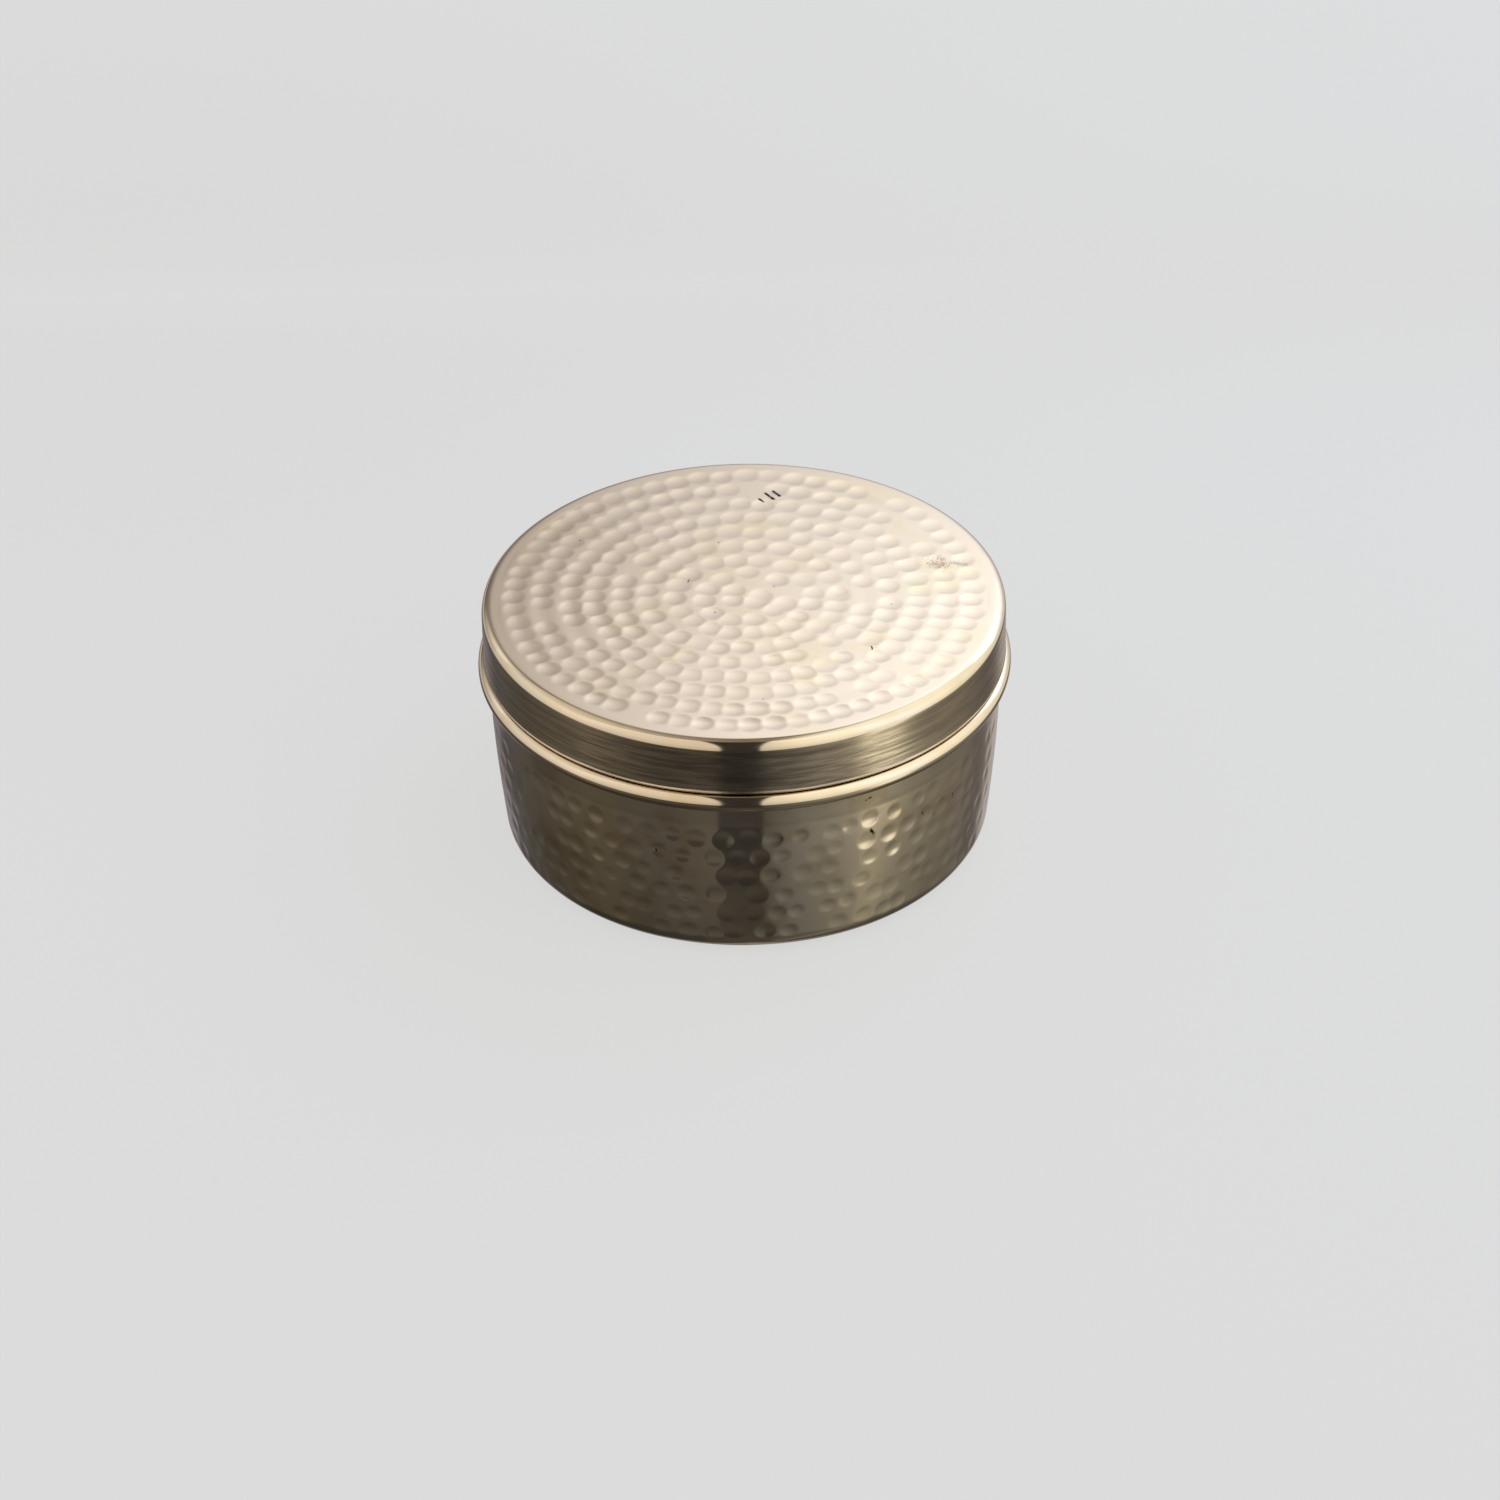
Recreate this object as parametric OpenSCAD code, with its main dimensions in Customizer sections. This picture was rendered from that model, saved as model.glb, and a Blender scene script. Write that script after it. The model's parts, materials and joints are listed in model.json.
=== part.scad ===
// Round spice box (masala dabba) in hammered brass: a spun body with a pressed
// bead, a slip-on lid, seven loose spice bowls and a spoon.
// Millimetres. +Z is up. The origin is the middle of the foot.

/* [Box] */
// Outer diameter of the lid, which names the size of the box
lid_d = 200; // [185:1:225]
// Height of the closed box
box_h = 100.5; // [98:0.5:112]
// Thickness of the box's brass sheet
sheet = 1; // [0.8:0.1:1.2]
// How far the flat foot's edge lies inside the lid's outer radius
foot_inset = 15.5; // [15:0.5:18]
// Radius of the bottom corner
corner_r = 9.7; // [8:0.1:10]
// How far the wall leans out between the bottom corner and the bead
wall_flare = 4.8; // [4:0.1:5]

/* [Lid] */
// Height of the lid, from its cut edge to its flat top
lid_h = 22.3; // [18:0.1:25]
// Radius of the rounded edge around the lid's top
lid_edge_r = 4; // [2.5:0.1:6]
// Clearance between the lid and the neck that it slips over
lid_gap = 0.4; // [0.35:0.05:0.6]

/* [Bead] */
// Radius of the half-round bead's section
bead_section_r = 3.6; // [2.8:0.1:4]
// Gap between the bead and the lid's cut edge
bead_gap = 0.8; // [0.5:0.1:1.5]

/* [Bowls] */
// Height of a bowl
bowl_h = 60; // [45:1:62]
// Thickness of a bowl's sheet
bowl_sheet = 0.9; // [0.7:0.1:1]
// Gap between the lips of two bowls that stand side by side
bowl_gap = 0.9; // [0.6:0.1:1.2]
// How much a bowl narrows between its lip and its bottom corner
bowl_taper = 4.4; // [3.5:0.1:5]
// Radius of a bowl's bottom corner
bowl_corner_r = 5; // [3:0.5:8]
// Radius of the roll around a bowl's lip
roll_r = 1.3; // [1:0.1:1.5]

/* [Spoon] */
// Length of the spoon from end to end
spoon_l = 110; // [104:1:112]
// Radius of the spoon's round dish at its rim
dish_r = 14; // [11:0.5:15]
// Depth of the dish
dish_depth = 6; // [5:0.5:7]
// Width of the handle where it leaves the dish
handle_w = 5; // [4:0.5:6]
// Width of the handle's round end
handle_end_w = 8; // [6:0.5:9]
// Thickness of the spoon's sheet
spoon_sheet = 1.2; // [1:0.1:1.5]

/* [Hidden] */
$fn = 96;
// Six bowls fit around a seventh of the same size
outer_bowls = 6;

hammered_brass = [0.72, 0.58, 0.34];
bright_brass = [0.90, 0.76, 0.48];

// Room left between pieces that lie on each other
rest_gap = 0.3;
// Overlap that makes two stretches of one solid run together
merge = 0.01;

lid_r = lid_d / 2;
lid_bottom = box_h - lid_h;
bead_z = lid_bottom - bead_gap - bead_section_r;
neck_r = lid_r - sheet - lid_gap;
// The neck's rim stops just under the rounded corner inside the lid
neck_top = box_h - lid_edge_r + 0.7;
foot_r = lid_r - foot_inset;
wall_top_r = foot_r + corner_r + wall_flare;

// The lips of three bowls in a row reach to this radius, clear of the wall
bowls_reach = lid_r - 4.9;
lip_r = (bowls_reach - bowl_gap) / 3;
// The middles of the outer bowls lie on this circle
bowl_ring_r = 2 * lip_r + bowl_gap;
bowl_wall_r = lip_r - roll_r;
bowl_foot_r = lip_r - bowl_taper - bowl_corner_r;
bowl_floor = sheet + rest_gap;
bowl_top = bowl_floor + bowl_h;

// The spoon's dish lies in the three-cornered gap between the lips of three
// bowls, and the far end of its handle lies on the lips across the box.
gap_angle = 180 / outer_bowls;
gap_centre_r = bowl_ring_r / (2 * cos(gap_angle));
// Radius of the ball whose cap is the dish
ball_r = (dish_r * dish_r + dish_depth * dish_depth) / (2 * dish_depth);
ball_to_roll = ball_r + roll_r + rest_gap;
ball_z = bowl_top - roll_r
         + sqrt(ball_to_roll * ball_to_roll - pow(gap_centre_r - bowl_wall_r, 2));
// Height of the handle's underside, measured from the middle of the ball
handle_z = dish_depth - ball_r;
handle_end_x = spoon_l - dish_r;
spoon_tilt = atan((ball_z + handle_z - bowl_top - rest_gap) / handle_end_x);

// Half section of a round vessel's outside: a flat foot, a round corner, and a
// wall that leans from the corner to [top_r, top_z].
module vessel_section(foot, corner, top_r, top_z) {
    rise = top_z - corner;
    lean = top_r - foot - corner;
    wall_len = norm([rise, lean]);
    polygon([[0, 0], [foot, 0],
             [foot + corner * rise / wall_len, corner - corner * lean / wall_len],
             [top_r, top_z], [0, top_z]]);
    intersection() {
        translate([foot, corner]) circle(corner);
        translate([foot - corner / 2, 0]) square([2 * corner, corner]);
    }
}

// Half section of a flat cap with a rounded edge.
module cap_section(r, top, edge, bottom) {
    translate([0, bottom]) square([r, top - edge - bottom]);
    translate([0, bottom]) square([r - edge, top - bottom]);
    translate([r - edge, top - edge]) intersection() {
        circle(edge);
        square(edge);
    }
}

module bead_disc(r) {
    translate([neck_r, bead_z]) circle(r);
}

module box_body() {
    color(hammered_brass) rotate_extrude() difference() {
        union() {
            vessel_section(foot_r, corner_r, wall_top_r, bead_z);
            translate([0, bead_z - merge]) square([neck_r, neck_top - bead_z + merge]);
            bead_disc(bead_section_r);
        }
        translate([0, sheet])
            vessel_section(foot_r, corner_r - sheet, wall_top_r - sheet, bead_z - sheet);
        translate([0, bead_z - merge]) square([neck_r - sheet, box_h]);
        // the groove that the pressed bead leaves inside
        bead_disc(bead_section_r - sheet);
    }
}

module lid() {
    color(bright_brass) rotate_extrude() difference() {
        cap_section(lid_r, box_h, lid_edge_r, lid_bottom);
        cap_section(lid_r - sheet, box_h - sheet, lid_edge_r - sheet, lid_bottom - merge);
    }
}

module bowl() {
    color(bright_brass) translate([0, 0, bowl_floor]) rotate_extrude() difference() {
        union() {
            vessel_section(bowl_foot_r, bowl_corner_r, bowl_wall_r, bowl_h - roll_r);
            translate([bowl_wall_r, bowl_h - roll_r]) circle(roll_r);
        }
        translate([0, bowl_sheet])
            vessel_section(bowl_foot_r, bowl_corner_r - bowl_sheet,
                           bowl_wall_r - bowl_sheet, bowl_h);
    }
}

module centre_bowl() {
    bowl();
}

module outer_bowl(i) {
    angle = (i - 1) * 360 / outer_bowls;
    translate([bowl_ring_r * cos(angle), bowl_ring_r * sin(angle), 0]) bowl();
}

// The cap of a hollow ball, centred on the ball
module dish() {
    difference() {
        sphere(ball_r);
        sphere(ball_r - spoon_sheet);
        translate([-2 * ball_r, -2 * ball_r, handle_z + spoon_sheet]) cube(4 * ball_r);
    }
}

module handle() {
    start_x = dish_r - spoon_sheet;
    round_x = handle_end_x - handle_end_w / 2;
    translate([0, 0, handle_z]) linear_extrude(spoon_sheet) {
        polygon([[start_x, -handle_w / 2], [round_x, -handle_end_w / 2],
                 [round_x, handle_end_w / 2], [start_x, handle_w / 2]]);
        translate([round_x, 0]) circle(handle_end_w / 2);
    }
}

module spoon() {
    color(bright_brass)
        rotate([0, 0, gap_angle]) translate([gap_centre_r, 0, ball_z])
        rotate([0, spoon_tilt, 180]) {
            dish();
            handle();
        }
}

box_body();
lid();
centre_bowl();
for (i = [1:outer_bowls])
    outer_bowl(i);
spoon();
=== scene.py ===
# %% Load the frame
import json
import math

import bmesh
import bpy
import numpy as np
from mathutils import Matrix, Vector

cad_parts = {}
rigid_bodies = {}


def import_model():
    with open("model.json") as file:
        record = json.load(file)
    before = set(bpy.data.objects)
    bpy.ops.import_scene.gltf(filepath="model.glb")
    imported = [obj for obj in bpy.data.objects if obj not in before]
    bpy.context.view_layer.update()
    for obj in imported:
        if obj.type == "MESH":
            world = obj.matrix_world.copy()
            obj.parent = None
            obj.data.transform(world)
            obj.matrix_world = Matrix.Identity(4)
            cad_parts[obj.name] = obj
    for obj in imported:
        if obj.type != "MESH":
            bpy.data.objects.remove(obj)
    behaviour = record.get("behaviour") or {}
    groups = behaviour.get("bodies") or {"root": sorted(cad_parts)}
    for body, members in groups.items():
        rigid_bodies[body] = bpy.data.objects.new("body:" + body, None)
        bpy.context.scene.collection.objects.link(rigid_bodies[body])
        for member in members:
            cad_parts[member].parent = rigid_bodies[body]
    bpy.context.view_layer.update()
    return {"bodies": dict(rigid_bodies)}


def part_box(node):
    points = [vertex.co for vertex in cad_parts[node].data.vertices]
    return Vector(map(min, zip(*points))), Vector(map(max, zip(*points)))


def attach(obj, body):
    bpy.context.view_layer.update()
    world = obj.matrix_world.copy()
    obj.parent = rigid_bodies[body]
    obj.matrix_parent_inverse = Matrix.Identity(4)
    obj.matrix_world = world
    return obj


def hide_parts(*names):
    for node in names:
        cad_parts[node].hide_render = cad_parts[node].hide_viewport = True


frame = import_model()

# %% [markdown]
# # A hammered brass spice box
# A spice box, or masala dabba, is a round box with a slip-on lid that holds
# seven small bowls and a spoon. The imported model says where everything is, so
# each size below is either read from it or is one of the few sheet-metal sizes
# that it was designed with: the sheet's thickness and the radii of its bends.

# %% Sizes
MM = 0.001
lid_low, lid_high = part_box("lid")
body_low, body_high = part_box("box_body")
bowl_low, bowl_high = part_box("centre_bowl")

LID_R = lid_high.x
LID_TOP = lid_high.z
LID_BOTTOM = lid_low.z
NECK_TOP = body_high.z
BEAD_OUT_R = body_high.x
SHEET = 1.0 * MM
LID_EDGE_R = 4.0 * MM
LID_GAP = 0.4 * MM
NECK_R = LID_R - SHEET - LID_GAP
BEAD_R = BEAD_OUT_R - NECK_R
BEAD_Z = LID_BOTTOM - 0.8 * MM - BEAD_R
FOOT_R = LID_R - 15.5 * MM
CORNER_R = 9.7 * MM
WALL_TOP_R = FOOT_R + CORNER_R + 4.8 * MM
print(f"lid {2 * LID_R / MM:.0f} mm across, box {LID_TOP / MM:.1f} mm high")

# %% [markdown]
# ## Camera
# The box is seen from the front, 34 degrees above the table, through a long
# lens from two metres away, so the lid is an ellipse with hardly any
# convergence. The camera is tipped by one degree to the right.

# %% Camera
CAMERA_ELEVATION = math.radians(33.99)
CAMERA_DISTANCE = 2.0
AIM_POINT = Vector((0, 0, 0.045))
AIM_RIGHT, AIM_DOWN = 1.44 * MM, 12.88 * MM
CAMERA_TIP = math.radians(0.987)
LENS, SENSOR_WIDTH = 124, 36


def placed(name, data):
    """A new object in the scene that holds this mesh or camera."""
    piece = bpy.data.objects.new(name, data)
    bpy.context.scene.collection.objects.link(piece)
    return piece


def make_camera():
    back = Vector((0, -math.cos(CAMERA_ELEVATION), math.sin(CAMERA_ELEVATION)))
    place = AIM_POINT + back * CAMERA_DISTANCE
    up = Vector((0, math.sin(CAMERA_ELEVATION), math.cos(CAMERA_ELEVATION)))
    aim = AIM_POINT + Vector((AIM_RIGHT, 0, 0)) - up * AIM_DOWN
    camera = placed("camera", bpy.data.cameras.new("camera"))
    camera.data.lens = LENS
    camera.data.sensor_width = SENSOR_WIDTH
    camera.data.clip_end = 50
    camera.location = place
    turn = (aim - place).to_track_quat("-Z", "Y").to_euler()
    turn.rotate_axis("Z", -CAMERA_TIP)
    camera.rotation_euler = turn
    bpy.context.scene.camera = camera
    print("camera at", [round(side, 3) for side in place])


make_camera()
bpy.context.scene.view_settings.view_transform = "Standard"

# %% [markdown]
# ## Node helpers
# Everything with nodes is built by the same few helpers. One adds a node and
# fills its inputs by name or by place. The others write a sum on numbers or on
# vectors in one line, or stand for a node that is used again and again.

# %% Node helpers


def add(tree, kind, values=None, **settings):
    """Adds a node, sets its settings and fills its inputs, by name or by place."""
    made = tree.nodes.new(kind)
    for name, value in settings.items():
        setattr(made, name, value)
    usable = [socket for socket in made.inputs if socket.enabled]
    for key, value in (values or {}).items():
        socket = usable[key] if isinstance(key, int) else next(s for s in usable if s.name == key)
        if isinstance(value, bpy.types.NodeSocket):
            tree.links.new(value, socket)
        else:
            socket.default_value = value
    return made


def out(node, name=0):
    """The output of a node that has this name or place, among those in use."""
    usable = [socket for socket in node.outputs if socket.enabled]
    return usable[name] if isinstance(name, int) else next(s for s in usable if s.name == name)


def calc(tree, operation, *terms):
    return out(add(tree, "ShaderNodeMath", dict(enumerate(terms)), operation=operation))


def times(tree, a, b):
    return calc(tree, "MULTIPLY", a, b)


def plus(tree, a, b):
    return calc(tree, "ADD", a, b)


def minus(tree, a, b):
    return calc(tree, "SUBTRACT", a, b)


def divided(tree, a, b):
    return calc(tree, "DIVIDE", a, b)


def vec(tree, operation, *terms):
    return out(add(tree, "ShaderNodeVectorMath", dict(enumerate(terms)), operation=operation))


def scaled(tree, vector, factor):
    return out(add(tree, "ShaderNodeVectorMath", {"Vector": vector, "Scale": factor}, operation="SCALE"))


def joined(tree, x, y, z):
    return out(add(tree, "ShaderNodeCombineXYZ", {"X": x, "Y": y, "Z": z}))


def parts_of(tree, vector):
    made = add(tree, "ShaderNodeSeparateXYZ", {"Vector": vector})
    return made.outputs["X"], made.outputs["Y"], made.outputs["Z"]


def on_circle(tree, radius, angle, z):
    """The point at this radius, angle and height."""
    return joined(tree, times(tree, radius, calc(tree, "COSINE", angle)),
                  times(tree, radius, calc(tree, "SINE", angle)), z)


def mapped(tree, value, low, high, to_low=0.0, to_high=1.0, kind="LINEAR"):
    """Runs from to_low to to_high as value goes from low to high."""
    limits = {"From Min": low, "From Max": high, "To Min": to_low, "To Max": to_high}
    made = add(tree, "ShaderNodeMapRange", {"Value": value, **limits}, interpolation_type=kind)
    return made.outputs["Result"]


def smooth_step(tree, value, low, high, to_low=0.0, to_high=1.0):
    """The same with soft ends."""
    return mapped(tree, value, low, high, to_low, to_high, "SMOOTHSTEP")


def clouds(tree, place, scale=1.0, detail=1.0, roughness=0.5):
    """Soft noise that wanders about 0.5 from place to place."""
    sizes = {"Scale": scale, "Detail": detail, "Roughness": roughness}
    return add(tree, "ShaderNodeTexNoise", {"Vector": place, **sizes}).outputs[0]


def here(tree):
    """The place on the piece, in metres."""
    return add(tree, "ShaderNodeTexCoord").outputs["Object"]


def mixed_colour(tree, factor, first, second, kind="MIX"):
    return out(add(tree, "ShaderNodeMix", {"Factor": factor, "A": first, "B": second},
                   data_type="RGBA", blend_type=kind))


def new_tree(name, kind, inputs, outputs):
    """A node group with named inputs [(name, type, default)] and outputs [(name, type)]."""
    tree = bpy.data.node_groups.new(name, kind)
    for label, socket_type, default in inputs:
        socket = tree.interface.new_socket(label, in_out="INPUT", socket_type="NodeSocket" + socket_type)
        if default is not None:
            socket.default_value = default
    for label, socket_type in outputs:
        tree.interface.new_socket(label, in_out="OUTPUT", socket_type="NodeSocket" + socket_type)
    return tree, tree.nodes.new("NodeGroupInput").outputs, tree.nodes.new("NodeGroupOutput").inputs


print("node helpers are ready")

# %% [markdown]
# ## Spinning sheet metal
# The box, the lid and the bowls are all round sheet metal, so each is one
# outline spun about the Z axis: out along one side of the sheet, round its edge
# and back along the other. A screw modifier could do it, but it gives every
# ring the same number of points, which crowds the middle. This helper doubles
# or halves the points of a ring so that the cells stay about as large as asked,
# and it remembers which stretches a hammer may push, and in which direction.

# %% Outline helpers


def line(start, end, step):
    """Points from start to end, at most step apart."""
    count = max(1, math.ceil(math.dist(start, end) / step))
    return [tuple(a + (b - a) * i / count for a, b in zip(start, end)) for i in range(count + 1)]


def arc(centre, radius, first, last, step):
    """Points on a circle from the angle first to the angle last, in degrees."""
    span = math.radians(last - first)
    count = max(3, math.ceil(abs(span) * radius / step))
    angles = [math.radians(first) + span * i / count for i in range(count + 1)]
    return [(centre[0] + radius * math.cos(a), centre[1] + radius * math.sin(a)) for a in angles]


def stretch(points, cell, push=(0, 0)):
    """Part of an outline: its points, how wide a cell may be, and the push (outward, up) of a blow."""
    return [(r, z, cell, push) for r, z in points]


print("a quarter circle of 5 mm in 1 mm steps has", len(arc((0, 0), 5 * MM, 0, 90, 1 * MM)), "points")

# %% Spinning
FEWEST_POINTS = 24
SAME_PLACE = 1e-7


def ring_count(radius, cell):
    """The fewest points, doubled until they are no more than a cell apart on the ring."""
    count = FEWEST_POINTS
    while 2 * math.pi * radius / count > cell:
        count *= 2
    return count


def bridge(a, na, b, nb):
    """Faces between ring a and ring b, whose counts are equal or one doubling apart."""
    if na == 1:
        return [(a, b + k, b + (k + 1) % nb) for k in range(nb)]
    if nb == 1:
        return [(a + k, b, a + (k + 1) % na) for k in range(na)]
    if na == nb:
        return [(a + k, b + k, b + (k + 1) % nb, a + (k + 1) % na) for k in range(na)]
    faces = []
    for k in range(min(na, nb)):
        if na < nb:
            a0, a1 = a + k, a + (k + 1) % na
            b0, b1, b2 = b + 2 * k, b + 2 * k + 1, b + (2 * k + 2) % nb
            faces += [(a0, b0, b1), (a0, b1, a1), (a1, b1, b2)]
        else:
            a0, a1, a2 = a + 2 * k, a + 2 * k + 1, a + (2 * k + 2) % na
            b0, b1 = b + k, b + (k + 1) % nb
            faces += [(a0, b0, a1), (a1, b0, b1), (a1, b1, a2)]
    return faces


def spin(name, outline):
    """A closed shell from an outline that starts and ends on the axis."""
    rows = [row for i, row in enumerate(outline)
            if i == 0 or math.dist(row[:2], outline[i - 1][:2]) > SAME_PLACE]
    counts = [1 if r < SAME_PLACE else ring_count(r, cell) for r, z, cell, push in rows]
    for order in (range(2, len(rows) - 1), range(len(rows) - 3, 0, -1)):
        step = order.step
        for i in order:
            counts[i] = min(counts[i], 2 * counts[i - step])
    starts = np.concatenate([[0], np.cumsum(counts)])
    points, pushes, faces = [], [], []
    for (r, z, cell, push), count in zip(rows, counts):
        angles = np.arange(count) * 2 * math.pi / count
        cos, sin = np.cos(angles), np.sin(angles)
        points.append(np.stack([r * cos, r * sin, np.full(count, z)], 1))
        pushes.append(np.stack([push[0] * cos, push[0] * sin, np.full(count, push[1])], 1))
    for i in range(len(rows) - 1):
        faces += bridge(int(starts[i]), counts[i], int(starts[i + 1]), counts[i + 1])
    mesh = bpy.data.meshes.new(name)
    mesh.from_pydata(np.concatenate(points).tolist(), [], faces)
    face_outwards(mesh)
    marks = mesh.attributes.new("push", "FLOAT_VECTOR", "POINT")
    marks.data.foreach_set("vector", np.concatenate(pushes).astype(np.float32).ravel())
    return placed(name, mesh)


def face_outwards(mesh):
    """Turns a closed mesh the right way round and shades it smooth."""
    bm = bmesh.new()
    bm.from_mesh(mesh)
    if bm.calc_volume(signed=True) < 0:
        bmesh.ops.reverse_faces(bm, faces=bm.faces)
    for face in bm.faces:
        face.smooth = True
    bm.to_mesh(mesh)
    bm.free()


print("a ring of 100 mm with 2 mm cells has", ring_count(100 * MM, 2 * MM), "points")

# %% [markdown]
# ## Hammer marks
# The maker strikes the sheet with a ball-faced hammer: in rings on the lid, in
# rows on the wall. Each blow leaves a shallow round dent. A bump map could draw
# them, but they change the outline and the reflections at every angle, so they
# are real geometry. Geometry Nodes place the centres of the blows, and then
# push every point of the sheet by the depth of the deepest dent over it. Even
# and odd blows are handled apart, so that two dents that overlap meet in the
# sharp ridge that real ones leave.

# %% What both sets of blows share


def wandering(tree, place, scale):
    """A slow drift along a row of blows, mostly within -1 to 1."""
    return times(tree, minus(tree, clouds(tree, place, scale), 0.5), 5.0)


def jitter(tree, reach, seed):
    """A random offset for each blow, up to reach either way."""
    limits = {"Min": tuple(-side for side in reach), "Max": reach}
    return out(add(tree, "FunctionNodeRandomValue", {**limits, "Seed": seed}, data_type="FLOAT_VECTOR"))


print("blows can wander and jitter")

# %% The blows in rings on the lid


def rings_of_blows():
    """Points on rings: the kth blow lies on a spiral angle, snapped to the middle of its turn."""
    tree, given, wanted = new_tree("Blows in rings", "GeometryNodeTree", [
        ("Ring pitch", "Float", 0.0103), ("Blow spacing", "Float", 0.009), ("Field radius", "Float", 0.0927),
        ("Height", "Float", 0.1), ("Wander", "Float", 0.001), ("Seed", "Int", 1)], [("Blows", "Geometry")])
    pitch, spacing, field = given["Ring pitch"], given["Blow spacing"], given["Field radius"]
    area = times(tree, times(tree, field, field), math.pi)
    count = calc(tree, "FLOOR", divided(tree, area, times(tree, pitch, spacing)))
    index = add(tree, "GeometryNodeInputIndex").outputs[0]
    per_turn = divided(tree, times(tree, spacing, 4 * math.pi), pitch)
    angle = calc(tree, "SQRT", times(tree, plus(tree, index, 0.5), per_turn))
    turn = plus(tree, calc(tree, "FLOOR", divided(tree, angle, 2 * math.pi)), 0.5)
    ring_r = times(tree, turn, pitch)

    drift = wandering(tree, on_circle(tree, 1.0, angle, turn), 1.3)
    radius = plus(tree, ring_r, times(tree, drift, given["Wander"]))
    # the middle was struck more freely than the rings round it
    spread = times(tree, given["Wander"], smooth_step(tree, ring_r, 12 * MM, 45 * MM, 2.4, 1.0))
    place = vec(tree, "ADD", on_circle(tree, radius, angle, given["Height"]),
                scaled(tree, jitter(tree, (1, 1, 0), given["Seed"]), spread))
    points = add(tree, "GeometryNodePoints", {"Count": count, "Position": place})
    tree.links.new(points.outputs[0], wanted["Blows"])
    return tree


RINGS = rings_of_blows()
print("made", RINGS.name)

# %% The blows in rows on the wall


def rows_of_blows():
    """Points in level rows round a wall that leans outwards."""
    tree, given, wanted = new_tree("Blows in rows", "GeometryNodeTree", [
        ("Rows", "Int", 6), ("Blows in a row", "Int", 60), ("Lowest row", "Float", 0.011),
        ("Row pitch", "Float", 0.009), ("Low radius", "Float", 0.0942), ("Lean", "Float", 0.075),
        ("Wander", "Float", 0.001), ("Seed", "Int", 1)], [("Blows", "Geometry")])
    index = add(tree, "GeometryNodeInputIndex").outputs[0]
    row = calc(tree, "FLOOR", divided(tree, index, given["Blows in a row"]))
    place = calc(tree, "MODULO", index, given["Blows in a row"])
    shift = times(tree, calc(tree, "MODULO", row, 2.0), 0.5)
    side, rise, unused = parts_of(tree, jitter(tree, (1, 1, 1), given["Seed"]))
    sway = plus(tree, times(tree, side, 0.22), shift)
    angle = divided(tree, times(tree, plus(tree, place, sway), 2 * math.pi), given["Blows in a row"])
    drift = wandering(tree, on_circle(tree, 1.0, angle, row), 1.1)
    moved = times(tree, plus(tree, drift, rise), given["Wander"])
    height = plus(tree, times(tree, row, given["Row pitch"]), plus(tree, given["Lowest row"], moved))
    radius = plus(tree, given["Low radius"], times(tree, height, given["Lean"]))
    count = times(tree, given["Rows"], given["Blows in a row"])
    spot = on_circle(tree, radius, angle, height)
    points = add(tree, "GeometryNodePoints", {"Count": count, "Position": spot})
    tree.links.new(points.outputs[0], wanted["Blows"])
    return tree


ROWS = rows_of_blows()
print("made", ROWS.name)

# %% One blow's dent


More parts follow.
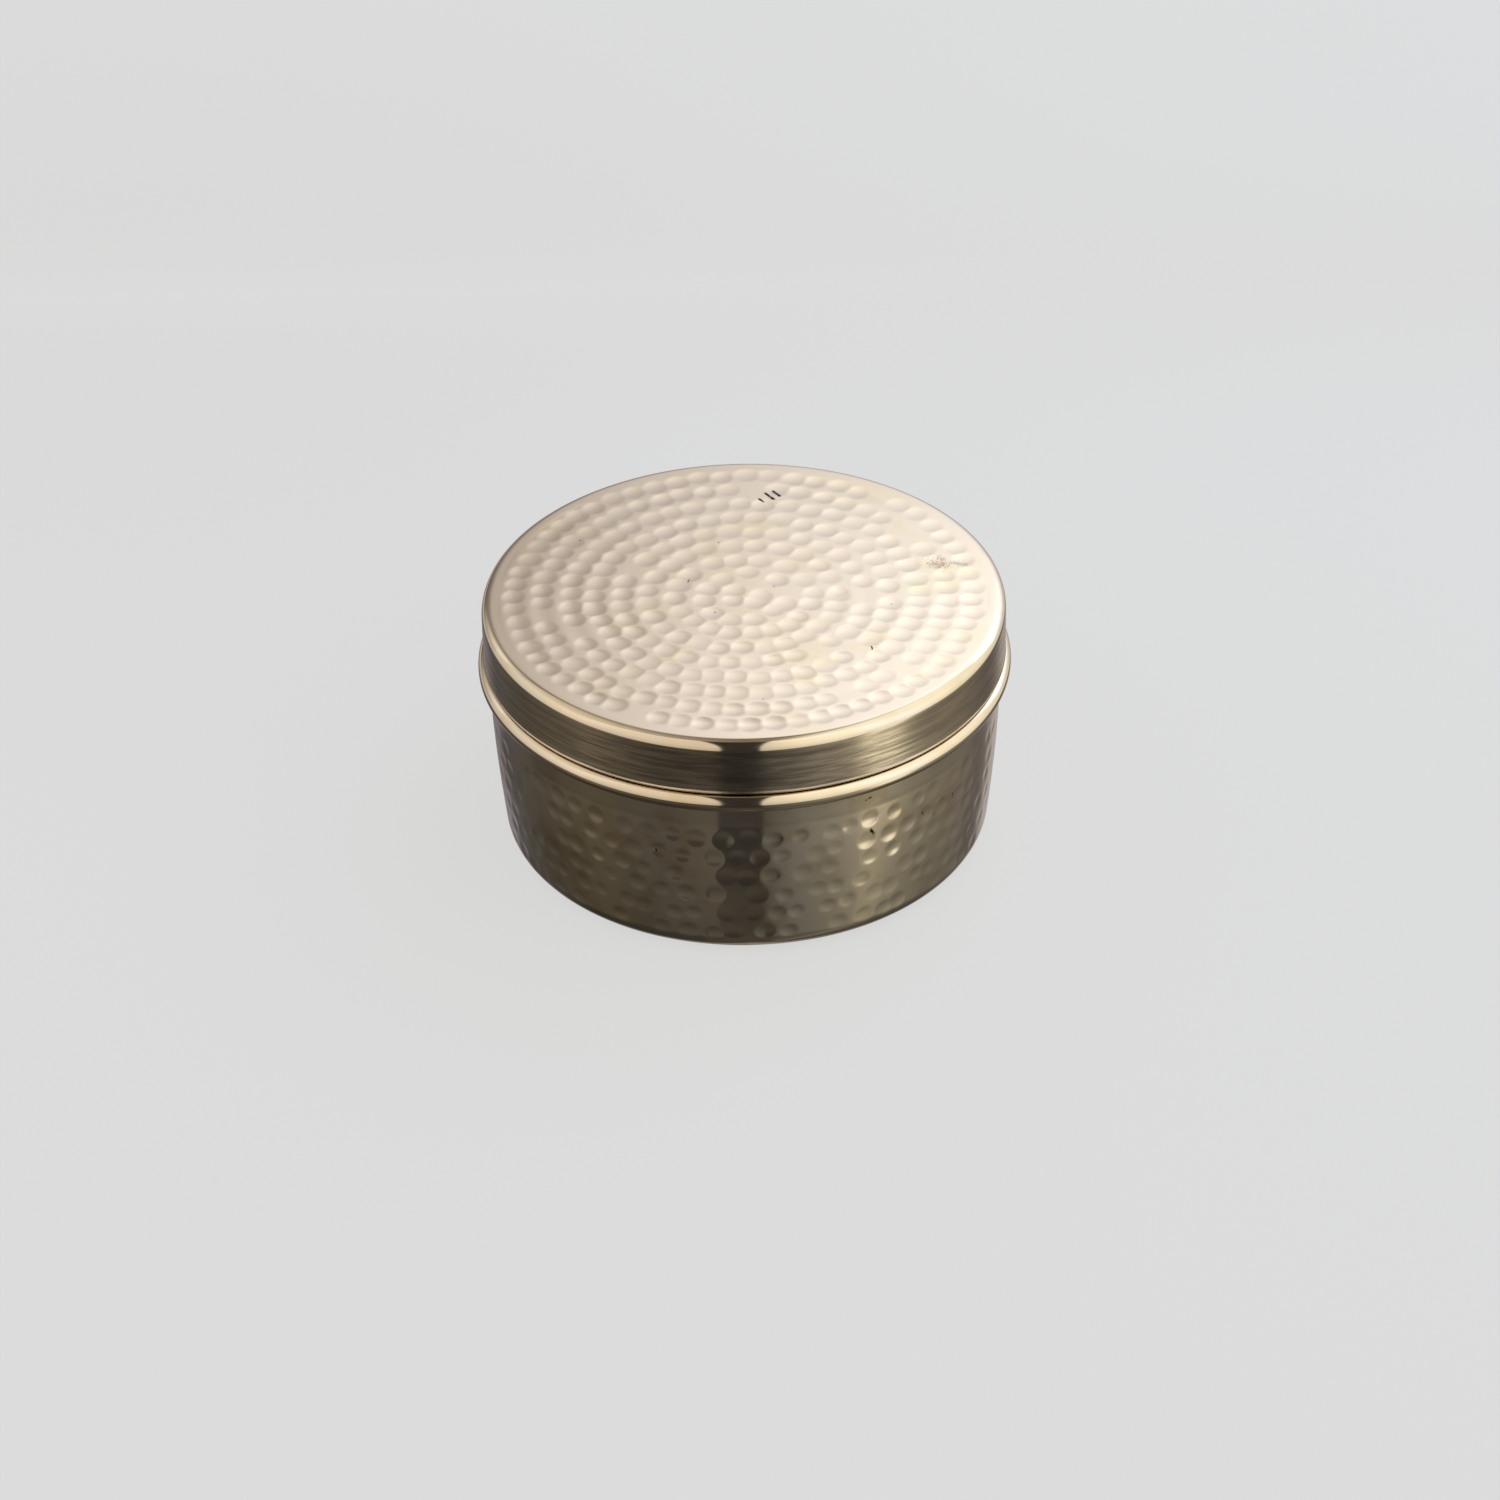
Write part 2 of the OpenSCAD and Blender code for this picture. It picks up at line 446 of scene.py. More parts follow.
def dents():
    """Pushes a sheet along its push attribute under every blow, each with its own size and depth."""
    tree, given, wanted = new_tree("Dents", "GeometryNodeTree", [
        ("Sheet", "Geometry", None), ("Blows", "Geometry", None), ("Smallest radius", "Float", 0.0033),
        ("Largest radius", "Float", 0.0043), ("Depth", "Float", 0.0002), ("Missed blows", "Float", 0.05),
        ("Unevenness", "Float", 0.0001), ("Ridge pitch", "Float", 0.0103), ("Ridge height", "Float", 0.0),
        ("Seed", "Int", 1)], [("Sheet", "Geometry")])
    position = add(tree, "GeometryNodeInputPosition").outputs[0]
    push = add(tree, "GeometryNodeInputNamedAttribute", {"Name": "push"}, data_type="FLOAT_VECTOR").outputs[0]
    direction = vec(tree, "NORMALIZE", push)
    index = add(tree, "GeometryNodeInputIndex").outputs[0]

    def random(low, high, shift):
        seed = plus(tree, given["Seed"], shift)
        return out(add(tree, "FunctionNodeRandomValue", {"Min": low, "Max": high, "Seed": seed},
                       data_type="FLOAT"))

    def stored(cloud, name, value):
        kept = {"Geometry": cloud, "Name": name, "Value": value}
        return out(add(tree, "GeometryNodeStoreNamedAttribute", kept, data_type="FLOAT", domain="POINT"))

    def named(name):
        return add(tree, "GeometryNodeInputNamedAttribute", {"Name": name}, data_type="FLOAT").outputs[0]

    def only(cloud, chosen):
        return add(tree, "GeometryNodeSeparateGeometry", {"Geometry": cloud, "Selection": chosen},
                   domain="POINT").outputs[0]

    def sampled(cloud, value, nearest, kind="FLOAT"):
        return out(add(tree, "GeometryNodeSampleIndex", {"Geometry": cloud, "Value": value, "Index": nearest},
                       data_type=kind, domain="POINT"))

    kept = calc(tree, "GREATER_THAN", random(0.0, 1.0, 1), given["Missed blows"])
    struck = stored(given["Blows"], "size", random(given["Smallest radius"], given["Largest radius"], 2))
    struck = stored(struck, "force", random(0.7, 1.2, 3))
    struck = stored(struck, "length", random(1.0, 1.14, 4))
    # the parity is stored before any blow is left out, so that neighbours stay in different sets
    struck = only(stored(struck, "parity", calc(tree, "MODULO", index, 2.0)), kept)

    depths = []
    for parity in (0, 1):
        cloud = only(struck, calc(tree, "COMPARE", named("parity"), float(parity), 0.1))
        nearest = out(add(tree, "GeometryNodeSampleNearest", {"Geometry": cloud, "Sample Position": position},
                          domain="POINT"))
        blow_place = add(tree, "GeometryNodeInputPosition").outputs[0]
        centre = sampled(cloud, blow_place, nearest, "FLOAT_VECTOR")
        away = vec(tree, "SUBTRACT", position, centre)
        around = vec(tree, "NORMALIZE", vec(tree, "CROSS_PRODUCT", (0, 0, 1), centre))
        along = vec(tree, "DOT_PRODUCT", away, around)
        deep = vec(tree, "DOT_PRODUCT", away, direction)
        square = vec(tree, "DOT_PRODUCT", away, away)
        across = minus(tree, square, plus(tree, times(tree, along, along), times(tree, deep, deep)))
        along = divided(tree, along, sampled(cloud, named("length"), nearest))
        reach = plus(tree, across, times(tree, along, along))
        size = sampled(cloud, named("size"), nearest)
        inside = minus(tree, 1.0, divided(tree, reach, times(tree, size, size)))
        cup = calc(tree, "MAXIMUM", inside, 0.0)
        depths.append(times(tree, cup, sampled(cloud, named("force"), nearest)))
    dent = times(tree, calc(tree, "MAXIMUM", *depths), given["Depth"])
    # the sheet also sags here and there, and low ridges stand between some of the rings
    sag = times(tree, minus(tree, clouds(tree, position, 28.0, 1.5), 0.4), given["Unevenness"])
    x, y, z = parts_of(tree, position)
    radius = vec(tree, "LENGTH", joined(tree, x, y, 0.0))
    wave = calc(tree, "COSINE", times(tree, divided(tree, radius, given["Ridge pitch"]), 2 * math.pi))
    share = smooth_step(tree, clouds(tree, position, 14.0), 0.4, 0.65)
    ridge = times(tree, times(tree, wave, share), given["Ridge height"])
    lowered = plus(tree, minus(tree, dent, ridge), sag)
    offset = scaled(tree, push, lowered)
    moved = add(tree, "GeometryNodeSetPosition", {"Geometry": given["Sheet"], "Offset": offset})
    tree.links.new(moved.outputs[0], wanted["Sheet"])
    return tree


DENTS = dents()
print("made", DENTS.name)

# %% Hammering a piece


def hammered_tree(name, blows, fixed):
    """A modifier tree: the blows' own inputs and the dents' inputs, then realized and given its material."""
    own = [s for s in blows.interface.items_tree if s.in_out == "INPUT"]
    cut = [s for s in DENTS.interface.items_tree if s.in_out == "INPUT"][2:]
    wanted_inputs = [("Geometry", "Geometry", None), ("Material", "Material", None)]
    for item in own + [c for c in cut if c.name != "Seed"]:
        default = fixed.get(item.name, item.default_value)
        wanted_inputs.append((item.name, item.socket_type.replace("NodeSocket", ""), default))
    tree, given, wanted = new_tree(name, "GeometryNodeTree", wanted_inputs, [("Geometry", "Geometry")])
    struck = tree.nodes.new("GeometryNodeGroup")
    struck.node_tree = blows
    for item in own:
        tree.links.new(given[item.name], struck.inputs[item.name])
    sheet = tree.nodes.new("GeometryNodeGroup")
    sheet.node_tree = DENTS
    for item in cut:
        tree.links.new(given[item.name], sheet.inputs[item.name])
    tree.links.new(given["Geometry"], sheet.inputs["Sheet"])
    tree.links.new(struck.outputs[0], sheet.inputs["Blows"])
    real = add(tree, "GeometryNodeRealizeInstances", {"Geometry": sheet.outputs[0]})
    done = add(tree, "GeometryNodeSetMaterial", {"Geometry": real.outputs[0], "Material": given["Material"]})
    tree.links.new(done.outputs[0], wanted["Geometry"])
    return tree


def hammer(piece, tree, material, **sizes):
    """Runs the tree on the piece and keeps the result as the piece's plain mesh."""
    modifier = piece.modifiers.new("hammer", "NODES")
    modifier.node_group = tree
    sockets = {s.name: s.identifier for s in tree.interface.items_tree if s.in_out == "INPUT"}
    modifier[sockets["Material"]] = material
    for name, value in sizes.items():
        modifier[sockets[name.replace("_", " ")]] = value
    evaluated = piece.evaluated_get(bpy.context.evaluated_depsgraph_get())
    mesh = bpy.data.meshes.new_from_object(evaluated)
    piece.modifiers.remove(modifier)
    piece.data = mesh
    mesh.attributes.remove(mesh.attributes["push"])
    mesh.name = piece.name
    print(piece.name, len(mesh.polygons), "faces")
    return piece


HAMMERED_LID = hammered_tree("Hammered lid", RINGS, {"Height": LID_TOP})
HAMMERED_WALL = hammered_tree("Hammered wall", ROWS, {})

# %% [markdown]
# ## Brass
# All the pieces are brass, but each is finished another way: hammered and
# polished, turned on the lathe, or pressed and buffed. Three effects come back
# in every finish, so each is a shader group: the fine rings that a lathe
# leaves, the cloudy tarnish of handled brass, and small dark pits.

# %% Shader groups


def lathe_lines():
    """Fine grooves round the Z axis; the height runs from 0 to 1 across them."""
    tree, given, wanted = new_tree("Lathe lines", "ShaderNodeTree", [
        ("Place", "Vector", (0, 0, 0)), ("Lines per metre", "Float", 2500.0), ("Breaks", "Float", 3.0)],
        [("Height", "Float"), ("Streaks", "Float")])
    x, y, z = parts_of(tree, given["Place"])
    radius = calc(tree, "SQRT", plus(tree, times(tree, x, x), times(tree, y, y)))
    # across the grooves: outwards on a level face, downwards on an upright one
    along = times(tree, minus(tree, radius, z), given["Lines per metre"])
    around = scaled(tree, vec(tree, "NORMALIZE", joined(tree, x, y, 0.0)), given["Breaks"])
    cx, cy, cz = parts_of(tree, around)
    grooves = joined(tree, cx, cy, along)
    coarse = clouds(tree, vec(tree, "MULTIPLY", grooves, (0.5, 0.5, 0.55)), 1.0, 3.0, 0.65)
    tree.links.new(clouds(tree, grooves, 1.0, 3.0, 0.6), wanted["Height"])
    tree.links.new(smooth_step(tree, coarse, 0.36, 0.64), wanted["Streaks"])
    return tree


def magnified(tree, size):
    """The place on the piece, counted in steps of this size."""
    return vec(tree, "DIVIDE", here(tree), joined(tree, size, size, size))


def tarnish():
    """Soft clouds that darken and redden the brass and dull its polish."""
    tree, given, wanted = new_tree("Tarnish", "ShaderNodeTree", [
        ("Brass", "Color", (0.88, 0.70, 0.41, 1)), ("Tarnish", "Color", (0.74, 0.56, 0.27, 1)),
        ("Amount", "Float", 0.4), ("Cloud size", "Float", 0.02), ("Polish", "Float", 0.2),
        ("Dulling", "Float", 0.1)], [("Color", "Color"), ("Roughness", "Float")])
    cloud = clouds(tree, magnified(tree, given["Cloud size"]), 1.0, 4.0, 0.55)
    mask = times(tree, smooth_step(tree, cloud, 0.45, 0.75), given["Amount"])
    tree.links.new(mixed_colour(tree, mask, given["Brass"], given["Tarnish"]), wanted["Color"])
    dull = times(tree, minus(tree, cloud, 0.5), given["Dulling"])
    tree.links.new(plus(tree, given["Polish"], dull), wanted["Roughness"])
    return tree


def pits():
    """A mask of small dark pits, far apart."""
    tree, given, wanted = new_tree("Pits", "ShaderNodeTree", [
        ("Spacing", "Float", 0.009), ("Size", "Float", 0.03), ("Share", "Float", 0.4)], [("Mask", "Float")])
    cells = add(tree, "ShaderNodeTexVoronoi", {"Vector": magnified(tree, given["Spacing"]), "Scale": 1.0})
    near = calc(tree, "LESS_THAN", out(cells, "Distance"), given["Size"])
    chosen = calc(tree, "LESS_THAN", parts_of(tree, out(cells, "Color"))[0], given["Share"])
    tree.links.new(times(tree, near, chosen), wanted["Mask"])
    return tree


def marks():
    """A mask of one ragged mark, from a start to an end, that fades over its width."""
    tree, given, wanted = new_tree("Mark", "ShaderNodeTree", [
        ("Start", "Vector", (0, 0, 0)), ("End", "Vector", (0.01, 0, 0)), ("Width", "Float", 0.0008),
        ("Raggedness", "Float", 0.5), ("Grain", "Float", 0.0005)], [("Mask", "Float")])
    length = vec(tree, "SUBTRACT", given["End"], given["Start"])
    away = vec(tree, "SUBTRACT", here(tree), given["Start"])
    share = divided(tree, vec(tree, "DOT_PRODUCT", away, length), vec(tree, "DOT_PRODUCT", length, length))
    share = add(tree, "ShaderNodeClamp", {"Value": share}).outputs[0]
    reach = vec(tree, "LENGTH", vec(tree, "SUBTRACT", away, scaled(tree, length, share)))
    grain = clouds(tree, magnified(tree, given["Grain"]), 1.0, 2.0)
    rough = times(tree, minus(tree, grain, 0.45), times(tree, given["Raggedness"], 6.0))
    ratio = plus(tree, divided(tree, reach, given["Width"]), rough)
    tree.links.new(smooth_step(tree, ratio, 1.0, 0.3), wanted["Mask"])
    return tree


LATHE, TARNISH, PITS, MARK = lathe_lines(), tarnish(), pits(), marks()
print("made", LATHE.name, TARNISH.name, PITS.name, MARK.name)

# %% Materials


def place_group(tree, group, **values):
    """Places a shader group and fills its inputs; a space in an input's name is written _ here."""
    made = tree.nodes.new("ShaderNodeGroup")
    made.node_tree = group
    for name, value in values.items():
        socket = made.inputs[name.replace("_", " ")]
        if isinstance(value, bpy.types.NodeSocket):
            tree.links.new(value, socket)
        else:
            socket.default_value = value
    return made


def turned(tree, lines_per_metre, breaks, place=None):
    """Lathe lines on a piece, by its Object coordinates unless another place is given."""
    return place_group(tree, LATHE, Place=place or here(tree), Lines_per_metre=lines_per_metre, Breaks=breaks)


def new_brass(name, anisotropy=0.0):
    """An empty brass: its tree, its shader and the mesh's own normal left alone."""
    material = bpy.data.materials.new(name)
    material.use_nodes = True
    shader = material.node_tree.nodes["Principled BSDF"]
    shader.inputs["Metallic"].default_value = 1.0
    shader.inputs["Anisotropic"].default_value = anisotropy
    return material, material.node_tree, shader


def finish(tree, shader, colour, roughness):
    tree.links.new(colour, shader.inputs["Base Color"])
    tree.links.new(roughness, shader.inputs["Roughness"])


def relief(tree, shader, height, depth):
    """Feeds a bump of this depth in metres to the shader."""
    bump = add(tree, "ShaderNodeBump", {"Strength": 1.0, "Distance": depth, "Height": height})
    tree.links.new(bump.outputs[0], shader.inputs["Normal"])


BRASS = (0.88, 0.70, 0.41, 1)
DARK_MARK = (0.03, 0.022, 0.016, 1)


def all_marks(tree, rows, spot, mask=0.0):
    """The strongest of a mask and of marks in millimetres.

    A row is the start (2 numbers that spot takes), the end (2 more), the width, the raggedness and the grain.
    """
    for a, b, c, d, width, raggedness, grain in rows:
        start, end = [[side * MM for side in spot(*pair)] for pair in ((a, b), (c, d))]
        made = place_group(tree, MARK, Start=start, End=end, Width=width * MM, Raggedness=raggedness,
                           Grain=grain * MM)
        mask = calc(tree, "MAXIMUM", mask, made.outputs[0])
    return mask


MARKED_HEIGHT = 100.5  # of the lid's top, in millimetres


def on_lid(x, y):
    return x, y, MARKED_HEIGHT


LID_STROKES = [(12.4, 76.3, 14.8, 72.4, 1.15, 0.2, 0.7),
               (9.4, 74.4, 12.3, 70.2, 1.1, 0.25, 0.7),
               (6.7, 70.4, 8.2, 68.6, 0.9, 0.5, 0.7),
               (48.0, -38.5, 47.6, -36.5, 0.5, 0.4, 0.5),
               (-20.6, 13.0, -21.2, 10.8, 0.45, 0.3, 0.5)]
LID_SMUDGE = [(73.0, 22.0, 77.0, 19.5, 3.8, 0.8, 0.55),
              (75.5, 25.5, 77.0, 24.0, 1.5, 0.8, 0.55),
              (80.5, 21.0, 85.0, 20.0, 1.8, 0.9, 0.55)]
LID_STAIN = [(73.0, 17.0, 84.0, 15.0, 11.0, 0.5, 5.0),
             (12.0, 52.0, 2.0, 48.0, 7.0, 0.7, 4.0),
             (52.0, -30.0, 46.0, -38.0, 8.0, 0.7, 5.0),
             (-28.0, -40.0, -22.0, -38.0, 6.0, 0.7, 4.0),
             (14.0, -44.0, 30.0, -46.0, 7.0, 0.8, 5.0),
             (66.0, 4.0, 78.0, 6.0, 9.0, 0.5, 4.0),
             (20.0, -57.0, 26.0, -60.0, 6.0, 0.4, 4.0),
             (58.0, 52.0, 62.0, 44.0, 6.0, 0.5, 4.0)]


def hammered_lid_brass():
    material, tree, shader = new_brass("lid_brass")
    tone = place_group(tree, TARNISH, Brass=BRASS, Tarnish=(0.85, 0.66, 0.31, 1), Amount=0.4, Cloud_size=0.03,
                       Polish=0.13, Dulling=0.08)
    specks = place_group(tree, PITS, Spacing=0.011, Size=0.028, Share=0.6)
    stain = times(tree, all_marks(tree, LID_STAIN, on_lid), 0.6)
    stained = mixed_colour(tree, stain, tone.outputs["Color"], (0.87, 0.69, 0.34, 1))
    smudge = times(tree, all_marks(tree, LID_SMUDGE, on_lid), 0.7)
    smudged = mixed_colour(tree, smudge, stained, (0.42, 0.26, 0.13, 1))
    marked = all_marks(tree, LID_STROKES, on_lid, specks.outputs[0])
    dull = calc(tree, "MAXIMUM", tone.outputs["Roughness"], times(tree, marked, 0.6))
    finish(tree, shader, mixed_colour(tree, marked, smudged, DARK_MARK), dull)
    relief(tree, shader, turned(tree, 3000.0, 4.0).outputs["Height"], 0.004 * MM)
    return material


def skirt_brass():
    """Brushed brass, with its streaks painted darker in front, a painted shade for the dark reflection there.
    """
    material, tree, shader = new_brass("skirt_brass", anisotropy=0.4)
    tangent = add(tree, "ShaderNodeTangent", direction_type="RADIAL", axis="Z")
    tree.links.new(tangent.outputs[0], shader.inputs["Tangent"])
    tone = place_group(tree, TARNISH, Brass=BRASS, Tarnish=(0.68, 0.53, 0.30, 1), Amount=0.4,
                       Cloud_size=0.018, Polish=0.14, Dulling=0.1)
    lines = turned(tree, 1000.0, 7.0)
    x, y, z = parts_of(tree, here(tree))
    # painted shade: the streaks grow darker towards the front, where the metal reflects the dark gap
    painted_front_shade = smooth_step(tree, y, -60 * MM, -95 * MM)
    share = plus(tree, times(tree, painted_front_shade, 0.3), 0.38)
    grooved = times(tree, lines.outputs["Streaks"], share)
    brushed = mixed_colour(tree, grooved, tone.outputs["Color"], (0.27, 0.22, 0.14, 1))
    # painted shade along the foot of the skirt, where the lid sits over the bead
    shade_under_lid = times(tree, painted_shade_band(tree, LID_BAND_LOW, LID_BOTTOM - 0.1 * MM), 0.3)
    scratched = plus(tree, tone.outputs["Roughness"], times(tree, lines.outputs["Streaks"], 0.04))
    finish(tree, shader, mixed_colour(tree, shade_under_lid, brushed, (0.16, 0.11, 0.08, 1)), scratched)
    relief(tree, shader, lines.outputs["Height"], 0.07 * MM)
    return material


# heights between which shade is painted, on the foot of the skirt and in the crease under the bead
LID_BAND_LOW = 77.6 * MM
CREASE = 70.0 * MM, 70.8 * MM


def on_wall(bearing, height):
    """A point of the wall, by its bearing from the front in degrees and its height in millimetres."""
    radius = WALL_TOP_R / MM - (BEAD_Z / MM - height) * (WALL_TOP_R - FOOT_R - CORNER_R) / (BEAD_Z - CORNER_R)
    return radius * math.sin(math.radians(bearing)), -radius * math.cos(math.radians(bearing)), height


WALL_NICKS = [(28.0, 51.5, 28.8, 49.0, 0.9, 0.5, 0.8), (42.4, 49.5, 42.6, 47.6, 0.6, 0.5, 0.6),
              (52.6, 48.6, 52.9, 46.6, 0.8, 0.5, 0.7), (47.8, 49.0, 50.5, 50.0, 0.4, 1.0, 0.6),
              (26.5, 66.2, 28.0, 66.8, 0.4, 1.0, 0.6), (45.8, 44.6, 46.4, 45.2, 0.5, 0.6, 0.6),
              (-22.8, 27.8, -22.6, 26.4, 0.6, 0.4, 0.6), (-20.6, 47.6, -20.5, 46.8, 0.6, 0.4, 0.6)]


def painted_shade_band(tree, low, high):
    """A mask of painted shade that is 1 between two heights and fades just beyond them."""
    x, y, z = parts_of(tree, here(tree))
    fade = 0.6 * MM
    return times(tree, smooth_step(tree, z, low - fade, low), smooth_step(tree, z, high + fade, high))


def wall_brass():
    material, tree, shader = new_brass("wall_brass")
    tone = place_group(tree, TARNISH, Brass=(0.89, 0.73, 0.45, 1), Tarnish=(0.62, 0.45, 0.21, 1), Amount=0.6,
                       Cloud_size=0.02, Polish=0.085, Dulling=0.07)
    specks = place_group(tree, PITS, Spacing=0.011, Size=0.035, Share=0.3)
    # painted shade in the crease under the bead
    crease = times(tree, painted_shade_band(tree, *CREASE), 0.6)
    crease_shaded = mixed_colour(tree, crease, tone.outputs["Color"], (0.2, 0.14, 0.08, 1))
    marked = all_marks(tree, WALL_NICKS, on_wall, specks.outputs[0])
    finish(tree, shader, mixed_colour(tree, marked, crease_shaded, DARK_MARK), tone.outputs["Roughness"])
    return material


def polished_brass():
    material, tree, shader = new_brass("polished_brass")
    tone = place_group(tree, TARNISH, Brass=BRASS, Tarnish=(0.80, 0.60, 0.30, 1), Amount=0.5,
                       Cloud_size=0.012, Polish=0.075, Dulling=0.06)
    finish(tree, shader, tone.outputs["Color"], tone.outputs["Roughness"])
    return material


def bowl_brass():
    """The bowls are turned about their own axes, so the lines read the place that each bowl was turned in."""
    material, tree, shader = new_brass("bowl_brass")
    place = add(tree, "ShaderNodeAttribute", attribute_name="turned").outputs["Vector"]
    tone = place_group(tree, TARNISH, Brass=(0.90, 0.73, 0.44, 1), Tarnish=(0.78, 0.60, 0.33, 1), Amount=0.35,
                       Cloud_size=0.015, Polish=0.2, Dulling=0.1)
    lines = turned(tree, 1600.0, 2.0, place)
    grooved = times(tree, lines.outputs["Streaks"], 0.25)
    brushed = mixed_colour(tree, grooved, tone.outputs["Color"], (0.60, 0.46, 0.25, 1))
    finish(tree, shader, brushed, tone.outputs["Roughness"])
    relief(tree, shader, lines.outputs["Height"], 0.03 * MM)
    return material


def spoon_brass():
    """Brass buffed along the handle: the grain is noise drawn out along the spoon."""
    material, tree, shader = new_brass("spoon_brass")
    tone = place_group(tree, TARNISH, Brass=(0.90, 0.74, 0.46, 1), Tarnish=(0.76, 0.58, 0.31, 1), Amount=0.4,
                       Cloud_size=0.01, Polish=0.19, Dulling=0.1)
    laid = add(tree, "ShaderNodeMapping", {"Vector": here(tree), "Rotation": (0, 0, -SPOON_BEARING)},
               vector_type="TEXTURE")
    grain = clouds(tree, vec(tree, "MULTIPLY", laid.outputs[0], (120.0, 2600.0, 2600.0)), 1.0, 2.0)
    finish(tree, shader, tone.outputs["Color"], tone.outputs["Roughness"])
    relief(tree, shader, grain, 0.02 * MM)
    return material


SPOON_BEARING = math.radians(30)
LID_BRASS, SKIRT_BRASS, WALL_BRASS = hammered_lid_brass(), skirt_brass(), wall_brass()
POLISHED_BRASS, BOWL_BRASS, SPOON_BRASS = polished_brass(), bowl_brass(), spoon_brass()
print("made", [material.name for material in bpy.data.materials if material.name.endswith("brass")])

# %% [markdown]
# ## The lid
# The lid is one sheet: a hammered field, a smooth border, a rounded edge and a
# straight skirt. Inside, the sheet follows a millimetre behind.

# %% The lid's outline
FIELD_R = 93 * MM
# how wide a cell may be where the sheet is hammered, bent or plain
FINE, EDGE, PLAIN = 0.8 * MM, 1.7 * MM, 2.2 * MM
# the lower lip stands out and hangs down a little
BURR = 0.2 * MM
LIP_DROP = 0.3 * MM


def lid_outline():
    inner_r, inner_top, inner_edge = LID_R - SHEET, LID_TOP - SHEET, LID_EDGE_R - SHEET
    lip = SHEET / 2
    low = LID_BOTTOM - LIP_DROP
    return (stretch(line((0, LID_TOP), (FIELD_R, LID_TOP), 0.72 * MM), FINE, (0, -1))
            + stretch(line((FIELD_R, LID_TOP), (LID_R - LID_EDGE_R, LID_TOP), 0.8 * MM), EDGE)
            + stretch(arc((LID_R - LID_EDGE_R, LID_TOP - LID_EDGE_R), LID_EDGE_R, 90, 0, 0.35 * MM), EDGE)
            + stretch(line((LID_R, LID_TOP - LID_EDGE_R), (LID_R, LID_BOTTOM + 1.4 * MM), 2 * MM), EDGE)
            + stretch(line((LID_R, low + 1.15 * MM), (LID_R + BURR, low + 0.65 * MM), 0.25 * MM), EDGE)
            + stretch(arc((LID_R + BURR - lip, low + lip), lip, 0, -180, 0.25 * MM), EDGE)
            + stretch(line((inner_r, low + lip), (inner_r, LID_TOP - LID_EDGE_R), 3 * MM), PLAIN)
            + stretch(arc((LID_R - LID_EDGE_R, LID_TOP - LID_EDGE_R), inner_edge, 0, 90, 0.8 * MM), PLAIN)
            + stretch(line((LID_R - LID_EDGE_R, inner_top), (FIELD_R, inner_top), 1.5 * MM), PLAIN)
            + stretch(line((FIELD_R, inner_top), (0, inner_top), 2 * MM), PLAIN, (0, -1)))


lid = spin("lid_shell", lid_outline())
hammer(lid, HAMMERED_LID, LID_BRASS, Seed=7, Smallest_radius=0.0043, Largest_radius=0.0050, Depth=0.00029,
       Unevenness=0.00025, Wander=0.0008, Ridge_height=0.00005)

# %% Finishes on the lid


def paint(piece, materials, chooser):
    """Gives each face the material whose place chooser returns for its middle (radius, height)."""
    piece.data.materials.clear()
    for material in materials:
        piece.data.materials.append(material)
    for face in piece.data.polygons:
        x, y, z = face.center
        face.material_index = chooser(math.hypot(x, y), z)


DEEPEST_DENT = 0.58 * MM


def lid_finish(radius, height):
    """Hammered brass on the field and its border, polished on the rounded edge, brushed elsewhere."""
    if height > LID_TOP - DEEPEST_DENT and radius < LID_R - LID_EDGE_R:
        return 0
    if height > LID_TOP - LID_EDGE_R and radius > LID_R - LID_EDGE_R:
        return 2
    return 1


paint(lid, [LID_BRASS, SKIRT_BRASS, POLISHED_BRASS], lid_finish)
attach(lid, "lid")
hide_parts("lid")
print(lid.name, "has", len(lid.data.materials), "finishes")

# %% [markdown]
# ## The box body
# The body starts from the middle of the flat foot, turns up round the bottom
# corner, leans outwards up the hammered wall to the bead, and ends in the plain
# neck. The bead is pressed from inside, so the sheet keeps its thickness and a
# groove is left behind it.

# %% The body's outline
LEAN = (WALL_TOP_R - FOOT_R - CORNER_R) / (BEAD_Z - CORNER_R)
LEAN_ANGLE = math.degrees(math.atan(LEAN))
BULGE = 0.5 * MM
HAMMERED_TOP = 62 * MM


def on_arc(centre, radius, degrees):
    """The point of a circle at this angle."""
    angle = math.radians(degrees)
    return centre[0] + radius * math.cos(angle), centre[1] + radius * math.sin(angle)


def wall_r(height):
    """Outer radius of the leaning wall."""
    return WALL_TOP_R - (BEAD_Z - height) * LEAN


def bulged(points):
    """Swells a stretch of wall outwards, most at its middle."""
    low, high = min(z for r, z in points), max(z for r, z in points)
    return [(r + BULGE * math.sin(math.pi * (z - low) / (high - low)), z) for r, z in points]


